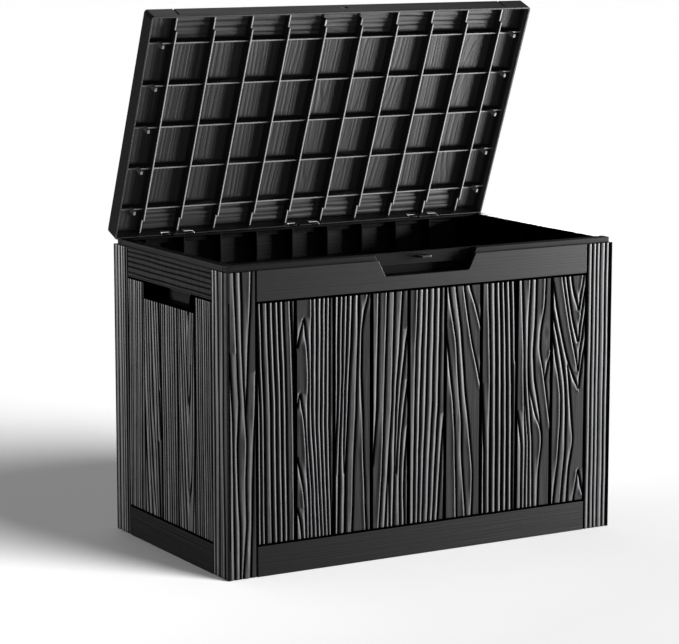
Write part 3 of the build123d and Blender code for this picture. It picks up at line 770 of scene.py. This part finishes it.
def pale_floor():
    """Floor paint: pale to the camera and dark to all other rays, so that little light bounces
    off it. Past a slanting line under the bench, its front is painted a little darker."""
    mat, tree, shader = new_material("pale_floor")
    speckle = noise(tree, (1, 1, 1), 3.0, 2.0)
    split = tree.nodes.new("ShaderNodeSeparateXYZ")
    tree.links.new(tree.nodes.new("ShaderNodeTexCoord").outputs["Object"], split.inputs["Vector"])
    ahead = combined(tree, "ADD", combined(tree, "MULTIPLY", split.outputs["Y"], -1.0),
                     combined(tree, "MULTIPLY", split.outputs["X"], 0.35))
    tone = combined(tree, "MULTIPLY", mapped(tree, speckle, 0.3, 0.7, 0.99, 1.01),
                    mapped(tree, ahead, FLOOR_Y + 0.1, FLOOR_Y + 0.6, 1.0, 0.87))
    grey = tree.nodes.new("ShaderNodeCombineColor")
    for channel in ("Red", "Green", "Blue"):
        tree.links.new(combined(tree, "MULTIPLY", tone, 0.88), grey.inputs[channel])
    tree.links.new(grey.outputs["Color"], shader.inputs["Base Color"])
    shader.inputs["Roughness"].default_value = 0.85
    shader.inputs["Specular IOR Level"].default_value = 0.1
    dim = tree.nodes.new("ShaderNodeBsdfDiffuse")
    dim.inputs["Color"].default_value = (0.16, 0.16, 0.16, 1)
    by_camera(tree, dim.outputs["BSDF"], shader.outputs["BSDF"], "Material Output")
    return mat


bpy.ops.mesh.primitive_plane_add(size=FLOOR_SIZE, location=(0, FLOOR_Y, -FLOOR_DROP))
ground = bpy.context.object
ground.name = "ground"
ground.data.materials.append(pale_floor())
ground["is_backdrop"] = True


def toward(azimuth, elevation):
    """Direction to a lamp at an azimuth round the bench: 0 in front, 90 to its right."""
    a, e = math.radians(azimuth), math.radians(elevation)
    return Vector((math.sin(a) * math.cos(e), -math.cos(a) * math.cos(e), math.sin(e)))


def hung(name, data, away):
    """A lamp in the scene that shines back along `away`."""
    lamp = bpy.data.objects.new(name, data)
    bpy.context.scene.collection.objects.link(lamp)
    lamp.rotation_mode = "QUATERNION"
    lamp.rotation_quaternion = away.to_track_quat("Z", "Y")
    return lamp


def softbox(name, azimuth, elevation, distance, size, power, aim=(0, 0, 0.35)):
    data = bpy.data.lights.new(name, "AREA")
    data.shape = "RECTANGLE"
    data.size, data.size_y = size
    data.energy = power
    away = toward(azimuth, elevation)
    lamp = hung(name, data, away)
    lamp.location = Vector(aim) + away * distance
    lamp.visible_camera = False
    return lamp


def sun(name, azimuth, elevation, power, spread):
    data = bpy.data.lights.new(name, "SUN")
    data.energy = power
    data.angle = math.radians(spread)
    return hung(name, data, toward(azimuth, elevation))


def grouped(name, pieces):
    group = bpy.data.collections.new(name)
    for piece in pieces:
        group.objects.link(piece)
    return group


def shine_on(lamp, pieces):
    """Limits a lamp to some pieces."""
    lamp.light_linking.receiver_collection = grouped("lit_by_" + lamp.name, pieces)


def shield(lamp, pieces):
    """Lets only some pieces cast a lamp's shadows."""
    lamp.light_linking.blocker_collection = grouped("shading_" + lamp.name, pieces)


# Each lamp lights only some pieces. On the front, back and left, the grain and the smooth resin
# beside it also have separate lamps, so that the grain's contrast can be set by itself.
lid_parts = [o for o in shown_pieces() if o.name.startswith("lid_")]
body_parts = [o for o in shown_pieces() if o not in lid_parts]
left_parts = [o for o in body_parts if o.name.startswith("left_")]
right_parts = [o for o in body_parts if o.name.startswith("right_")]
other_parts = [o for o in body_parts if o not in left_parts + right_parts]
grained = [o for o in other_parts + left_parts if o.name.endswith("_grain")]
plain = [o for o in other_parts + left_parts if o not in grained]
left_grained = [o for o in left_parts if o in grained]
left_plain = [o for o in left_parts if o in plain]

shine_on(sun("floor_sun", 30, 37, 4.75, 28), [ground])
shine_on(sun("floor_fill", 200, 70, 0.62, 50), [ground])

# Name, azimuth, elevation, distance, size, power and aim of each softbox, and what it lights.
LEFT_WALL, RIGHT_WALL, WALL_SIZE = (-0.33, 0, 0.26), (0.33, 0, 0.26), (0.7, 1.2)
SOFTBOXES = [
    (("rake_grain", 69, 3, 3.2, (1.0, 1.4), 405, (0, 0, 0.27)), grained),
    (("rake_plain", 69, 3, 1.9, (0.6, 0.9), 104, (0.06, 0, 0.27)), plain),
    (("left_rake", -140, 10, 2.4, WALL_SIZE, 66, LEFT_WALL), left_grained),
    (("left_soft", -140, 10, 2.4, WALL_SIZE, 24, LEFT_WALL), left_plain),
    (("right_rake", 140, 10, 2.4, WALL_SIZE, 88, RIGHT_WALL), right_parts),
    (("back_fill", -150, 20, 3.2, (1.4, 1.6), 60), other_parts),
    (("top", 140, 62, 3.0, (1.6, 1.2), 16), body_parts),
    (("lid_under", 66, -22, 3.2, (2.6, 0.9), 262, (0.05, 0.12, 0.64)), lid_parts),
    (("lid_fill", -12, -16, 2.6, (1.8, 1.4), 15, (0, 0.12, 0.63)), lid_parts),
    (("lid_top", 150, 50, 3.0, (1.6, 1.2), 5.5, (0, 0.1, 0.6)), lid_parts),
    (("lid_side", 70, 4, 2.0, (0.7, 0.9), 12, (0.1, 0.1, 0.6)), lid_parts),
]
for settings, lit in SOFTBOXES:
    lamp = softbox(*settings)
    shine_on(lamp, lit)
    if lamp.name in ("lid_under", "lid_fill"):
        shield(lamp, lid_parts)


def white_light(node, strength):
    node.inputs["Color"].default_value = (1, 1, 1, 1)
    node.inputs["Strength"].default_value = strength
    return node.outputs["Background"]


world = bpy.data.worlds.new("studio")
bpy.context.scene.world = world
world.use_nodes = True
faint = white_light(world.node_tree.nodes["Background"], 0.08)
bright = white_light(world.node_tree.nodes.new("ShaderNodeBackground"), 1.0)
by_camera(world.node_tree, faint, bright, "World Output")
bpy.context.scene.view_settings.view_transform = "Standard"

CAMERA_PLACE = (-2.0171, -3.3953, 0.9729)
CAMERA_DIP, CAMERA_TURN, CAMERA_LENS = 9.33, -30.18, 137.55
camera_data = bpy.data.cameras.new("camera")
camera_data.sensor_width = 36.0
camera_data.lens = CAMERA_LENS
camera_data.dof.use_dof = False
camera_data.clip_end = 200.0
camera = bpy.data.objects.new("camera", camera_data)
bpy.context.scene.collection.objects.link(camera)
camera.location = CAMERA_PLACE
camera.rotation_euler = (math.radians(90 - CAMERA_DIP), 0, math.radians(CAMERA_TURN))
bpy.context.scene.camera = camera
